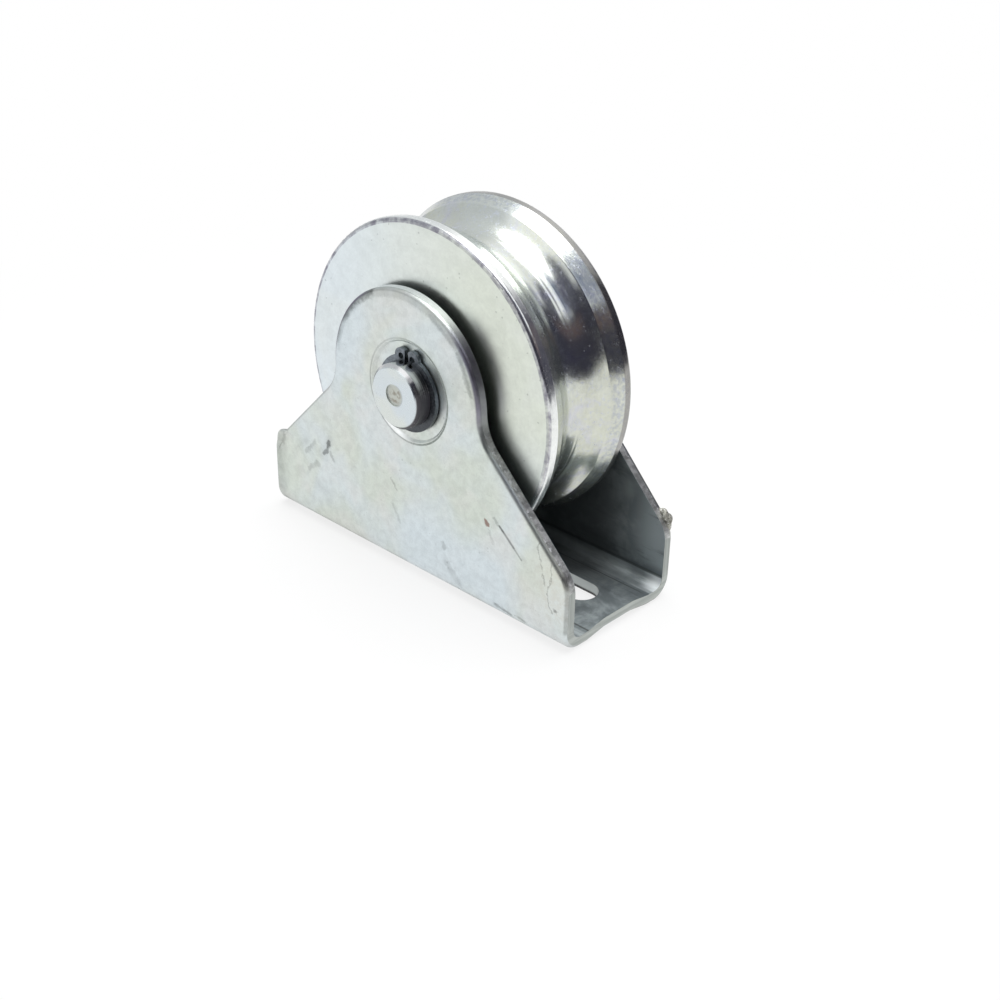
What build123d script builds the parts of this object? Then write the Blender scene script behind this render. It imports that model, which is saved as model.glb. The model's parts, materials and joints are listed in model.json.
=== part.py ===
"""Grooved gate wheel that turns on a ball bearing between the two ears of a folded steel bracket.

Frame: X along the bracket, Y along the axle, Z up. The origin is the middle of the bracket's footprint.
"""

from build123d import *

import os
from math import sqrt

os.makedirs("parts", exist_ok=True)

# Bracket: one strip of sheet, folded to a channel with two ears (millimetres)
sheet = 3.0
bracket_width = 38.5
bracket_length = 102.0
axle_height = 49.5
ear_radius = 24.4
ear_lean = 1.7  # the folds are slightly skewed, so each ear leans along X, one each way
ear_fillet = 12.0
end_height = 18.5
end_corner_radius = 8.0
fold_inner_radius = 2.5
die_roll = 1.2
floor_rise = 1.0
raised_floor_width = 10.0
floor_ramp = 6.0
floor_crease_radius = 4.0
slot_width = 8.5
slot_length = 22.0
slot_spacing = 65.0

# Seat coined inwards around the axle hole of each ear
seat_depth = 0.9
seat_mouth_diameter = 25.4
seat_slope = 0.7
seat_edge_radius = 0.4
seat_boss_step = 0.8
seat_reach = 16.0

# Axle pin and its circlips
pin_diameter = 16.0
pin_length = 47.6
pin_chamfer = 0.9
pin_clearance = 0.05
end_mark_diameter = 5.2
end_mark_depth = 0.3
end_mark_lift = 0.6
clip_thickness = 1.0
clip_standoff = 0.3
clip_groove_width = 1.1
clip_groove_diameter = 15.2
clip_band = 2.2
clip_taper = 0.25
clip_gap = 1.2
clip_lug_radius = 2.0
clip_eye_spacing = 3.7
clip_eye_height = 8.75
clip_eye_diameter = 1.6

# Wheel
wheel_diameter = 80.0
wheel_width = 28.5
rim_edge_radius = 1.2
rim_land = 2.5
land_edge_radius = 0.3
groove_radius = 10.0
groove_floor_diameter = 68.0
groove_mouth = 16.4
groove_crease_radius = 0.5
shoulder_bore = 30.0
bore_chamfer = 0.8

# Deep groove ball bearing, 16 x 35 x 11
bearing_bore = 16.0
bearing_outside = 35.0
bearing_width = 11.0
ball_diameter = 5.953
ball_pitch = 25.0
ball_count = 8
race_clearance = 0.08
inner_land_diameter = 21.5
outer_land_diameter = 28.6
ring_corner = 0.6
shield_sheet = 0.35
shield_inset = 0.75
shield_bore = 22.2
shield_dish = 0.3
shield_step_diameter = 26.0
shield_seat_diameter = 30.8
shield_lip_diameter = 30.0
fit_gap = 0.02

# Ribbon cage: two pressed halves, riveted between the balls
cage_sheet = 0.5
cage_inner_diameter = 22.8
cage_outer_diameter = 27.4
pocket_clearance = 0.12
rivet_diameter = 1.0
rivet_head_diameter = 1.8
rivet_head_height = 0.35

# Spacers, and the retaining ring that holds the bearing in the wheel
spacer_outside = 21.0
spacer_clearance = 0.1
ring_thickness = 1.5
ring_groove_width = 1.6
ring_groove_diameter = 37.0
ring_band = 3.2
ring_gap = 9.0
ring_lug_radius = 2.3
ring_lug_inset = 0.9
ring_eye_diameter = 2.5

# Sizes that follow from the ones above
half_length = bracket_length / 2
half_width = bracket_width / 2
half_wheel = wheel_width / 2
half_bearing = bearing_width / 2
half_pin = pin_length / 2
wheel_radius = wheel_diameter / 2
groove_floor = groove_floor_diameter / 2
wall = half_width - sheet / 2
seat_face = half_width - seat_depth
seat_back = seat_face - sheet
clip_face = seat_face + clip_standoff
axle_hole = pin_diameter + 2 * pin_clearance
ball_radius = ball_diameter / 2
race_radius = ball_radius + race_clearance
pocket_radius = ball_radius + pocket_clearance
ball_angle = 360 / ball_count

axle_section = Plane(origin=(0, 0, axle_height), x_dir=(0, 1, 0), z_dir=(1, 0, 0))
axle_line = Axis((0, 0, axle_height), (0, 1, 0))
sides = (("front", -1), ("rear", 1))


def across_axle(side, distance):
    """Plane square to the axle on one side of the wheel: normal outwards, y axis upwards."""
    return Plane(origin=(0, side * distance, axle_height), x_dir=(-side, 0, 0), z_dir=(0, side, 0))


# Bracket
with BuildPart() as bracket:
    above_ears = axle_height + ear_radius + sheet
    rise_end = raised_floor_width / 2
    rise_start = rise_end + floor_ramp
    fold_radius = fold_inner_radius + sheet / 2
    with BuildSketch(Plane.YZ):
        with BuildLine():
            FilletPolyline(
                (-wall, above_ears),
                (-wall, sheet / 2),
                (-rise_start, sheet / 2),
                (-rise_end, sheet / 2 + floor_rise),
                (rise_end, sheet / 2 + floor_rise),
                (rise_start, sheet / 2),
                (wall, sheet / 2),
                (wall, above_ears),
                radius=[fold_radius] + 4 * [floor_crease_radius] + [fold_radius],
            )
            offset(amount=sheet / 2, side=Side.BOTH, mode=Mode.REPLACE)
        make_face()
    extrude(amount=half_length, both=True)

    with BuildPart(mode=Mode.PRIVATE) as blank:
        for name, side in sides:
            with BuildSketch(Plane.XZ) as outline:
                lean = side * ear_lean
                Polygon(
                    (-half_length, 0),
                    (half_length, 0),
                    (half_length, end_height),
                    (lean, end_height + half_length),
                    (-half_length, end_height),
                    align=None,
                )
                with Locations((lean, axle_height)):
                    Circle(ear_radius)
                fillet(outline.vertices().sort_by(Axis.Y)[4:6], radius=ear_fillet)
                fillet(outline.vertices().sort_by(Axis.Y)[2:4], radius=end_corner_radius)
            extrude(amount=-side * bracket_width)
    add(blank.part, mode=Mode.INTERSECT)

    ear_faces = bracket.faces().filter_by(Plane.XZ).sort_by(Axis.Y)
    punched_edges = [face.outer_wire().edges().sort_by(Axis.Z)[1:] for face in (ear_faces[0], ear_faces[-1])]
    fillet(punched_edges[0] + punched_edges[1], radius=die_roll)

    with BuildSketch(across_axle(1, 0)):
        Circle(seat_reach)
    extrude(amount=bracket_width, both=True, mode=Mode.SUBTRACT)
    for side in (-1, 1):
        with BuildSketch(axle_section) as seat:
            mouth = seat_mouth_diameter / 2
            with BuildLine():
                Polyline(
                    (side * half_width, seat_reach + sheet),
                    (side * half_width, mouth),
                    (side * seat_face, mouth - seat_slope),
                    (side * seat_face, axle_hole / 2),
                    (side * seat_back, axle_hole / 2),
                    (side * seat_back, mouth + seat_boss_step - seat_slope),
                    (side * (half_width - sheet), mouth + seat_boss_step),
                    (side * (half_width - sheet), seat_reach + sheet),
                    close=True,
                )
            make_face()
            fillet(seat.vertices().group_by(Axis.Y)[1:-1], radius=seat_edge_radius)
        revolve(axis=axle_line)
    with BuildSketch(across_axle(1, 0)):
        Circle(axle_hole / 2)
    extrude(amount=bracket_width, both=True, mode=Mode.SUBTRACT)

    with BuildSketch():
        with GridLocations(slot_spacing, 0, 2, 1):
            SlotOverall(slot_length, slot_width)
    extrude(amount=2 * sheet, mode=Mode.SUBTRACT)
bracket.part.label = "bracket"
export_step(bracket.part, "parts/bracket.step")


# Axle pin, with a shallow mark in each end and a groove for each circlip
with BuildPart() as axle_pin:
    with BuildSketch(across_axle(1, 0)):
        Circle(pin_diameter / 2)
    extrude(amount=half_pin, both=True)
    chamfer(axle_pin.edges().filter_by(GeomType.CIRCLE), length=pin_chamfer)
    for side in (-1, 1):
        with BuildSketch(across_axle(side, half_pin)):
            with Locations((0, end_mark_lift)):
                Circle(end_mark_diameter / 2)
        extrude(amount=-end_mark_depth, mode=Mode.SUBTRACT)
        with BuildSketch(axle_section):
            with Locations((side * (clip_face + clip_groove_width / 2), pin_diameter / 2)):
                Rectangle(clip_groove_width, pin_diameter - clip_groove_diameter)
        revolve(axis=axle_line, mode=Mode.SUBTRACT)
axle_pin.part.label = "axle_pin"
export_step(axle_pin.part, "parts/axle_pin.step")


# Circlips: an open band, thinner towards two eyed lugs at the top
for name, side in sides:
    with BuildPart() as circlip:
        with BuildSketch(across_axle(side, clip_face)):
            with Locations((0, -clip_taper)):
                Circle(clip_groove_diameter / 2 + clip_band - clip_taper)
            with Locations((0, clip_eye_height)):
                with GridLocations(clip_eye_spacing, 0, 2, 1):
                    Circle(clip_lug_radius)
                    Circle(clip_eye_diameter / 2, mode=Mode.SUBTRACT)
            Circle(clip_groove_diameter / 2 + fit_gap, mode=Mode.SUBTRACT)
            with Locations((0, clip_eye_height)):
                Rectangle(clip_gap, 2 * (clip_lug_radius + clip_band), mode=Mode.SUBTRACT)
        extrude(amount=clip_thickness)
    circlip.part.label = f"{name}_circlip"
    export_step(circlip.part, f"parts/{name}_circlip.step")


# Wheel body: a round groove between two tapered flanks, bored from the rear for the bearing
with BuildPart() as wheel_body:
    half_mouth = groove_mouth / 2
    crease = groove_floor + groove_radius - sqrt(groove_radius**2 - half_mouth**2)
    land_edge = half_wheel - rim_land
    with BuildSketch(axle_section) as profile:
        with BuildLine():
            Polyline(
                (-half_mouth, crease),
                (-land_edge, wheel_radius),
                (-half_wheel, wheel_radius),
                (-half_wheel, shoulder_bore / 2),
                (-half_bearing, shoulder_bore / 2),
                (-half_bearing, bearing_outside / 2),
                (half_wheel, bearing_outside / 2),
                (half_wheel, wheel_radius),
                (land_edge, wheel_radius),
                (half_mouth, crease),
            )
            ThreePointArc((-half_mouth, crease), (0, groove_floor), (half_mouth, crease))
        make_face()
        fillet(profile.vertices().group_by(Axis.Y)[-2], radius=groove_crease_radius)
        fillet(profile.vertices().group_by(Axis.Y)[-1].sort_by(Axis.X)[1:3], radius=land_edge_radius)
        fillet(profile.vertices().group_by(Axis.X)[0].sort_by(Axis.Y)[-1], radius=rim_edge_radius)
        fillet(profile.vertices().group_by(Axis.X)[-1].sort_by(Axis.Y)[-1], radius=rim_edge_radius)
        chamfer(profile.vertices().group_by(Axis.X)[0].sort_by(Axis.Y)[0], length=bore_chamfer)
        chamfer(profile.vertices().group_by(Axis.X)[-1].sort_by(Axis.Y)[0], length=bore_chamfer)
    revolve(axis=axle_line)
    with BuildSketch(axle_section):
        with Locations((half_bearing + ring_groove_width / 2, bearing_outside / 2)):
            Rectangle(ring_groove_width, ring_groove_diameter - bearing_outside)
    revolve(axis=axle_line, mode=Mode.SUBTRACT)
wheel_body.part.label = "wheel_body"
export_step(wheel_body.part, "parts/wheel_body.step")


# Retaining ring behind the bearing: an open band with two eyed lugs that point inwards
with BuildPart() as bearing_retaining_ring:
    ring_radius = ring_groove_diameter / 2 - fit_gap
    lug_offset = ring_gap / 2 + ring_lug_radius
    lug_height = sqrt((ring_radius - ring_band - ring_lug_inset) ** 2 - lug_offset**2)
    with BuildSketch(across_axle(1, half_bearing)):
        Circle(ring_radius)
        Circle(ring_radius - ring_band, mode=Mode.SUBTRACT)
        with Locations((0, ring_radius)):
            Rectangle(ring_gap, 2 * (ring_band + ring_lug_radius), mode=Mode.SUBTRACT)
        with Locations((0, lug_height)):
            with GridLocations(2 * lug_offset, 0, 2, 1):
                Circle(ring_lug_radius)
                Circle(ring_eye_diameter / 2, mode=Mode.SUBTRACT)
    extrude(amount=ring_thickness)
bearing_retaining_ring.part.label = "bearing_retaining_ring"
export_step(bearing_retaining_ring.part, "parts/bearing_retaining_ring.step")


# Bearing outer ring, with its raceway and a stepped seat for each shield
with BuildPart() as bearing_outer_ring:
    shield_face = half_bearing - shield_inset
    shield_shoulder = shield_face - shield_sheet
    with BuildSketch(axle_section):
        with BuildLine():
            Polyline(
                (-half_bearing, bearing_outside / 2),
                (-half_bearing, shield_lip_diameter / 2),
                (-shield_face, shield_lip_diameter / 2),
                (-shield_face, shield_seat_diameter / 2),
                (-shield_shoulder, shield_seat_diameter / 2),
                (-shield_shoulder, outer_land_diameter / 2),
                (shield_shoulder, outer_land_diameter / 2),
                (shield_shoulder, shield_seat_diameter / 2),
                (shield_face, shield_seat_diameter / 2),
                (shield_face, shield_lip_diameter / 2),
                (half_bearing, shield_lip_diameter / 2),
                (half_bearing, bearing_outside / 2),
                close=True,
            )
        make_face()
        with Locations((0, ball_pitch / 2)):
            Circle(race_radius, mode=Mode.SUBTRACT)
    revolve(axis=axle_line)
    outside_rims = bearing_outer_ring.edges().filter_by(GeomType.CIRCLE).sort_by(SortBy.RADIUS)[-2:]
    chamfer(outside_rims, length=ring_corner)
bearing_outer_ring.part.label = "bearing_outer_ring"
export_step(bearing_outer_ring.part, "parts/bearing_outer_ring.step")


# Bearing inner ring
with BuildPart() as bearing_inner_ring:
    inner_wall = (inner_land_diameter - bearing_bore) / 2
    with BuildSketch(axle_section):
        with Locations((0, (bearing_bore + inner_wall) / 2)):
            Rectangle(bearing_width, inner_wall)
        with Locations((0, ball_pitch / 2)):
            Circle(race_radius, mode=Mode.SUBTRACT)
    revolve(axis=axle_line)
    bore_rims = bearing_inner_ring.edges().filter_by(GeomType.CIRCLE).sort_by(SortBy.RADIUS)[:2]
    chamfer(bore_rims, length=ring_corner)
bearing_inner_ring.part.label = "bearing_inner_ring"
export_step(bearing_inner_ring.part, "parts/bearing_inner_ring.step")


# Balls
for number in range(1, ball_count + 1):
    with BuildPart(across_axle(1, 0)) as ball:
        with PolarLocations(ball_pitch / 2, 1, start_angle=number * ball_angle):
            Sphere(ball_radius)
    ball.part.label = f"ball_{number}"
    export_step(ball.part, f"parts/ball_{number}.step")


# Cage halves, mirror images that meet on the middle plane of the balls
for name, side in sides:
    with BuildPart(across_axle(side, 0)) as cage:
        with BuildSketch(across_axle(side, 0)):
            Circle(cage_outer_diameter / 2)
        extrude(amount=cage_sheet)
        with PolarLocations(ball_pitch / 2, ball_count):
            Sphere(pocket_radius + cage_sheet)
        with BuildSketch(across_axle(side, 0)):
            Circle(cage_outer_diameter / 2)
            Circle(cage_inner_diameter / 2, mode=Mode.SUBTRACT)
        extrude(amount=half_bearing, mode=Mode.INTERSECT)
        with PolarLocations(ball_pitch / 2, ball_count):
            Sphere(pocket_radius, mode=Mode.SUBTRACT)
        with PolarLocations(ball_pitch / 2, ball_count, start_angle=ball_angle / 2):
            Cylinder(rivet_diameter / 2, bearing_width, mode=Mode.SUBTRACT)
    cage.part.label = f"{name}_cage_half"
    export_step(cage.part, f"parts/{name}_cage_half.step")


# Cage rivets, one between each pair of balls
with BuildPart(across_axle(1, 0)) as cage_rivets:
    with PolarLocations(ball_pitch / 2, ball_count, start_angle=ball_angle / 2):
        Cylinder(rivet_diameter / 2, 2 * cage_sheet)
    for side in (-1, 1):
        with BuildSketch(across_axle(side, cage_sheet)):
            with PolarLocations(ball_pitch / 2, ball_count, start_angle=ball_angle / 2):
                Circle(rivet_head_diameter / 2)
        extrude(amount=rivet_head_height)
cage_rivets.part.label = "cage_rivets"
export_step(cage_rivets.part, "parts/cage_rivets.step")


# Bearing shields: a flat rim held in the outer ring, and a dished middle that clears the inner ring
for name, side in sides:
    with BuildPart() as shield:
        rim_middle = shield_face - shield_sheet / 2
        with BuildSketch(axle_section):
            with BuildLine():
                Polyline(
                    (side * rim_middle, shield_seat_diameter / 2 - fit_gap - shield_sheet / 2),
                    (side * rim_middle, shield_step_diameter / 2),
                    (side * (rim_middle + shield_dish), shield_step_diameter / 2 - 2 * shield_dish),
                    (side * (rim_middle + shield_dish), shield_bore / 2 + shield_sheet / 2),
                )
                offset(amount=shield_sheet / 2, side=Side.BOTH, mode=Mode.REPLACE)
            make_face()
        revolve(axis=axle_line)
    shield.part.label = f"{name}_shield"
    export_step(shield.part, f"parts/{name}_shield.step")


# Spacers between the bearing's inner ring and the seats pressed in the ears
for name, side in sides:
    with BuildPart() as spacer:
        with BuildSketch(across_axle(side, half_bearing)):
            Circle(spacer_outside / 2)
            Circle(pin_diameter / 2 + spacer_clearance, mode=Mode.SUBTRACT)
        extrude(amount=seat_back - half_bearing)
    spacer.part.label = f"{name}_spacer"
    export_step(spacer.part, f"parts/{name}_spacer.step")
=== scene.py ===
"""Looks of the gate wheel: plated and worn steel, a plain pale table, soft light from above."""

import json
from math import cos, radians, sin
from types import SimpleNamespace

import bmesh
import bpy
import numpy as np
from mathutils import Matrix, Vector


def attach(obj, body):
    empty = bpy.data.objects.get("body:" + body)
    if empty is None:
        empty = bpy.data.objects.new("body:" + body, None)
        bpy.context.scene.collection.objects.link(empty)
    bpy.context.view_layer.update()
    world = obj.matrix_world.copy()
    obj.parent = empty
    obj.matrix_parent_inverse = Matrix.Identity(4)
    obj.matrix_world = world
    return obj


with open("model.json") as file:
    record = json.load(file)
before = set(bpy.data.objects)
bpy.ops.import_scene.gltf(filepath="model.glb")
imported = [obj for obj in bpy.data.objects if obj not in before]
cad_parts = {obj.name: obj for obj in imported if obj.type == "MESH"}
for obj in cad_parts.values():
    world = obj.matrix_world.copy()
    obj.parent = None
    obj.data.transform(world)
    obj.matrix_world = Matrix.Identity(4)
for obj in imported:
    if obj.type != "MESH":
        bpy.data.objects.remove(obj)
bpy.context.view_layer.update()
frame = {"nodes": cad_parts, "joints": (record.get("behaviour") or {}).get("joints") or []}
nodes = frame["nodes"]

joints = {joint["name"]: joint for joint in frame["joints"]}
axle = Vector(joints["wheel_spin"]["pos_m"])
axle_height = axle.z
mm = 0.001

# sizes of the solids that the finishes follow, in metres
channel_end = 0.0510  # from the middle to each end face of the channel
ear_outside = 0.01925  # from the middle plane to the ears' outer faces
ear_inside = 0.01625  # from the middle plane to the ears' inner faces
ear_round = 0.0244  # radius of an ear's top
ear_lean = 0.0017  # each ear leans this far along X, one each way
die_roll = 0.0012  # radius of the rolled outer edges
seat_mouth = 0.0127  # radius of the coined seat at its mouth
sheet_top = 0.0030  # upper side of the sheet where it lies flat
fold_top = 0.0055  # where the folds end and the walls begin
ramp_foot = 0.0110  # from the middle plane to the foot of the raised floor
slot_middle = 0.0325  # from the middle to each slot
slot_straight = 0.00675  # half the straight part of a slot
slot_radius = 0.00425  # radius of a slot's round ends
wheel_face = 0.01425  # from the middle plane to the wheel's faces
wheel_radius = 0.0400  # to the outside of both rims
rim_land = 0.0025  # width of the flat land on each rim
groove_edge = 0.0082  # from the middle plane to the groove's mouth
pin_end = 0.0238  # from the middle plane to the pin's end faces
end_mark = 0.0026  # radius of the round mark in the pin's end
end_mark_lift = 0.0006  # how far the mark's middle lies above the axle


# -------------------- camera
view_azimuth = radians(42.805)
view_elevation = radians(28.978)
view_roll = radians(1.294)
view_distance = 0.375365
view_offset = (-0.008180, 0.031672)
focal_length = 56.16
sensor_width = 36.0


def place_camera():
    """Camera on a sphere round the axle's middle, rolled about its line of sight, then slid aside and up."""
    back = Vector((
        sin(view_azimuth) * cos(view_elevation),
        -cos(view_azimuth) * cos(view_elevation),
        sin(view_elevation),
    ))
    level = Vector((0, 0, 1)).cross(back).normalized()
    upright = back.cross(level)
    right = cos(view_roll) * level + sin(view_roll) * upright
    up = cos(view_roll) * upright - sin(view_roll) * level
    place = axle + back * view_distance - right * view_offset[0] - up * view_offset[1]
    data = bpy.data.cameras.new("camera")
    data.lens = focal_length
    data.sensor_width = sensor_width
    data.clip_start = 0.01
    camera = bpy.data.objects.new("camera", data)
    turn = Matrix((right, up, back)).transposed().to_4x4()
    camera.matrix_world = Matrix.Translation(place) @ turn
    bpy.context.scene.collection.objects.link(camera)
    bpy.context.scene.camera = camera


place_camera()


# -------------------- node helpers
def is_socket(value):
    """Whether a value comes from another node."""
    return isinstance(value, bpy.types.NodeSocket)


def add(tree, kind, inputs=None, **attributes):
    """A shader node of that kind; each input is a value, or another node's output to link."""
    node = tree.nodes.new("ShaderNode" + kind)
    for key, value in attributes.items():
        setattr(node, key, value)
    for key, value in (inputs or {}).items():
        socket = node.inputs[key]
        if is_socket(value):
            tree.links.new(value, socket)
        else:
            socket.default_value = value
    return node


def calc(tree, operation, *values):
    """One step of arithmetic, as an output socket."""
    return add(tree, "Math", dict(enumerate(values)), operation=operation).outputs[0]


def vector(tree, operation, *places, **factors):
    """One step of vector arithmetic: a number for a length, distance or dot product, else a vector."""
    node = add(tree, "VectorMath", {**dict(enumerate(places)), **factors}, operation=operation)
    gives_number = operation in ("LENGTH", "DISTANCE", "DOT_PRODUCT")
    return node.outputs["Value" if gives_number else "Vector"]


def split(tree, place):
    """The x, y and z of a place."""
    return add(tree, "SeparateXYZ", {0: place}).outputs


def point(tree, *lengths):
    """A place from its x, y and z; those left out are 0."""
    return add(tree, "CombineXYZ", dict(enumerate(lengths))).outputs[0]


def own_place(tree):
    """Each point's place on the piece, in metres, which turns with the piece."""
    return add(tree, "TexCoord").outputs["Object"]


def from_axle(tree, x, z):
    """Distance from the axle's line."""
    return vector(tree, "LENGTH", point(tree, x, calc(tree, "SUBTRACT", z, axle_height)))


def away(tree, value, middle):
    """How far a value is from the middle one, either way."""
    return calc(tree, "ABSOLUTE", calc(tree, "SUBTRACT", value, middle))


def held(tree, value):
    """The value, held between 0 and 1."""
    return calc(tree, "MINIMUM", calc(tree, "MAXIMUM", value, 0.0), 1.0)


def product(tree, *values):
    """All the values multiplied together."""
    total = values[0]
    for value in values[1:]:
        total = calc(tree, "MULTIPLY", total, value)
    return total


def weighted(tree, *pairs):
    """Sum of value * weight over the pairs."""
    total = 0.0
    for value, weight in pairs:
        total = calc(tree, "MULTIPLY_ADD", value, weight, total)
    return total


def largest(tree, *values):
    """The greatest of the values at each point."""
    total = values[0]
    for value in values[1:]:
        total = calc(tree, "MAXIMUM", total, value)
    return total


def fade(tree, value, start, end):
    """0 where value is at start and short of it, 1 at end and beyond, smooth between."""
    flipped = not is_socket(start) and not is_socket(end) and start > end
    low, high = (end, start) if flipped else (start, end)
    target = {"To Min": 1.0, "To Max": 0.0} if flipped else {}
    inputs = {"Value": value, "From Min": low, "From Max": high, **target}
    node = add(tree, "MapRange", inputs, interpolation_type="SMOOTHSTEP", clamp=False)
    return node.outputs["Result"]


def blend(tree, share, first, second, mode="MIX"):
    """First colour where share is 0, second where it is 1."""
    node = add(tree, "Mix", {0: share}, data_type="RGBA", blend_type=mode)
    for socket, color in ((node.inputs[6], first), (node.inputs[7], second)):
        if is_socket(color):
            tree.links.new(color, socket)
        else:
            socket.default_value = (*color, 1)
    return node.outputs[2]


def tint(tree, base, color, *shares):
    """The base colour, turned to the other colour by the product of the shares."""
    return blend(tree, product(tree, *shares), base, color)


def shaded(tree, color, tone):
    """The colour times a grey tone."""
    grey = add(tree, "CombineColor", {0: tone, 1: tone, 2: tone}).outputs[0]
    return blend(tree, 1.0, color, grey, "MULTIPLY")


def between(tree, share, first, second):
    """First number where share is 0, second where it is 1."""
    return add(tree, "Mix", {0: share, 2: first, 3: second}, data_type="FLOAT").outputs[0]


def noise(tree, place, scale, detail=2.0, roughness=0.5, distortion=0.0):
    """Cloudy pattern from 0 to 1, with features about 1 / scale metres apart."""
    inputs = {
        "Vector": place, "Scale": scale, "Detail": detail, "Roughness": roughness, "Distortion": distortion,
    }
    return add(tree, "TexNoise", inputs).outputs["Fac"]


def stretch(tree, place, scale, turn=(0, 0, 0)):
    """The same place turned and then scaled along each axis."""
    inputs = {"Vector": place, "Scale": scale, "Rotation": turn}
    return add(tree, "Mapping", inputs, vector_type="POINT").outputs[0]


def new_material(name):
    """An empty node material with its tree."""
    material = bpy.data.materials.new(name)
    material.use_nodes = True
    material.node_tree.nodes.clear()
    return material, material.node_tree


def new_group(name, inputs, outputs):
    """A shader node group with named sockets; inputs give each socket's kind and its value."""
    tree = bpy.data.node_groups.new(name, "ShaderNodeTree")
    for label, kind, value in inputs:
        socket = tree.interface.new_socket(label, in_out="INPUT", socket_type="NodeSocket" + kind)
        if value is not None:
            socket.default_value = value
    for label in outputs:
        tree.interface.new_socket(label, in_out="OUTPUT", socket_type="NodeSocketFloat")
    return tree, tree.nodes.new("NodeGroupInput").outputs, tree.nodes.new("NodeGroupOutput").inputs


def use(tree, group, **inputs):
    """One use of a node group, with its own values; returns the outputs."""
    return add(tree, "Group", inputs, node_tree=group).outputs


# -------------------- mesh helpers
def new_object(name, mesh):
    """An object of that mesh, put in the scene."""
    piece = bpy.data.objects.new(name, mesh)
    bpy.context.scene.collection.objects.link(piece)
    return piece


def grid_mesh(name, points):
    """Mesh of a grid of points, rows by columns: one four-sided face between each four neighbours."""
    rows, columns = points.shape[:2]
    index = np.arange(rows * columns).reshape(rows, columns)
    faces = np.stack([index[:-1, :-1], index[:-1, 1:], index[1:, 1:], index[1:, :-1]], axis=-1)
    mesh = bpy.data.meshes.new(name)
    mesh.from_pydata(points.reshape(-1, 3).tolist(), [], faces.reshape(-1, 4).tolist())
    return mesh


def weld(mesh):
    """Closes the seam and the two pinched ends of a tube and turns its faces outward."""
    shape = bmesh.new()
    shape.from_mesh(mesh)
    bmesh.ops.remove_doubles(shape, verts=shape.verts, dist=0.00001)
    bmesh.ops.recalc_face_normals(shape, faces=shape.faces)
    shape.to_mesh(mesh)
    shape.free()


# -------------------- stage
def seen_directly(tree):
    """1 for camera, glossy and transmission rays, 0 for the light that falls on things."""
    path = add(tree, "LightPath").outputs
    seen = calc(tree, "MAXIMUM", path["Is Camera Ray"], path["Is Glossy Ray"])
    return calc(tree, "MAXIMUM", seen, path["Is Transmission Ray"])


def build_table():
    """White table top, plain white to the lens and to polished metal further off, with the shadow near by."""
    half_side = 2.6
    shadow_start, shadow_end = 0.05, 0.26
    white_near = 0.80
    mesh = bpy.data.meshes.new("table")
    corners = [(x * half_side, y * half_side, 0) for x, y in ((-1, -1), (1, -1), (1, 1), (-1, 1))]
    mesh.from_pydata(corners, [], [(0, 1, 2, 3)])
    material, tree = new_material("table")
    matt = add(tree, "BsdfDiffuse", {"Color": (0.80, 0.80, 0.795, 1)})
    glow = add(tree, "Emission", {"Color": (1, 1, 1, 1)})
    reach = vector(tree, "LENGTH", own_place(tree))
    far = fade(tree, reach, shadow_start, shadow_end)
    share = calc(tree, "MULTIPLY", seen_directly(tree), between(tree, far, white_near, 1.0))
    mix = add(tree, "MixShader", {"Fac": share, 1: matt.outputs[0], 2: glow.outputs[0]})
    add(tree, "OutputMaterial", {"Surface": mix.outputs[0]})
    mesh.materials.append(material)
    new_object("table", mesh)


# patches of paint: azimuth from +X towards +Y and elevation of the middle, half width and half height,
# all in degrees, then the power, the width of the soft rim and the colour
room_paint = [
    (-112, 50, 34, 34, 2, 0.6, (1.25, 1.25, 1.25)),
    (10, 56, 34, 16, 2, 0.7, (1.3, 1.3, 1.3)),
    (100, 42, 26, 16, 2, 0.8, (1.25, 1.25, 1.22)),
    (178, 34, 58, 34, 3, 0.6, (0.66, 0.68, 0.70)),
    (-10, 57, 17, 23, 2, 0.8, (0.20, 0.24, 0.36)),
    (78, 33, 15, 9, 2, 0.9, (0.36, 0.37, 0.42)),
    (80, 2, 26, 24, 3, 0.6, (0.12, 0.11, 0.15)),
    (-46, 51, 42, 20, 2, 0.5, (0.075, 0.075, 0.11)),
    (43, 47, 23, 17, 2, 0.5, (0.075, 0.075, 0.11)),
    (-2, 12, 76, 27, 6, 0.35, (0.028, 0.027, 0.048)),
    (5, 29, 52, 6, 3, 0.9, (0.10, 0.066, 0.070)),
]
plain_wall = 0.95


def room_wall(azimuth):
    """Distance of the wall, and its lowest and highest elevation, for azimuths in degrees.

    The wall stands 0.62 m off, up to 0.9 m further in front and 0.36 m nearer behind. It starts 2 mm under
    the table and ends 68 degrees up, with an arch of 13 degrees more round azimuth -10.
    """
    in_front = np.clip((-15 - azimuth) / 30, 0, 1) * np.clip((azimuth + 120) / 40, 0, 1)
    behind = np.clip((azimuth - 40) / 45, 0, 1) * np.clip((170 - azimuth) / 50, 0, 1)
    reach = 0.62 + 0.9 * in_front - 0.36 * behind
    lowest = -np.arcsin((axle_height + 2 * mm) / reach)
    highest = radians(68) + radians(13) * np.clip(1 - ((azimuth + 10) / 24) ** 2, 0, 1)
    return reach, lowest, highest


def wall_tone(azimuth, elevation):
    """Colour of the wall at directions in degrees, one patch laid over another."""
    tone = np.full((*elevation.shape, 3), plain_wall)
    for middle, height, wide, high, power, rim, color in room_paint:
        across = (azimuth - middle + 180) % 360 - 180
        cover = 1 - np.abs(across / wide) ** power - np.abs((elevation - height) / high) ** power
        cover = np.clip(cover / rim, 0, 1)
        cover = (cover * cover * (3 - 2 * cover))[..., None]
        tone = tone * (1 - cover) + np.array(color) * cover
    return tone


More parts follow.
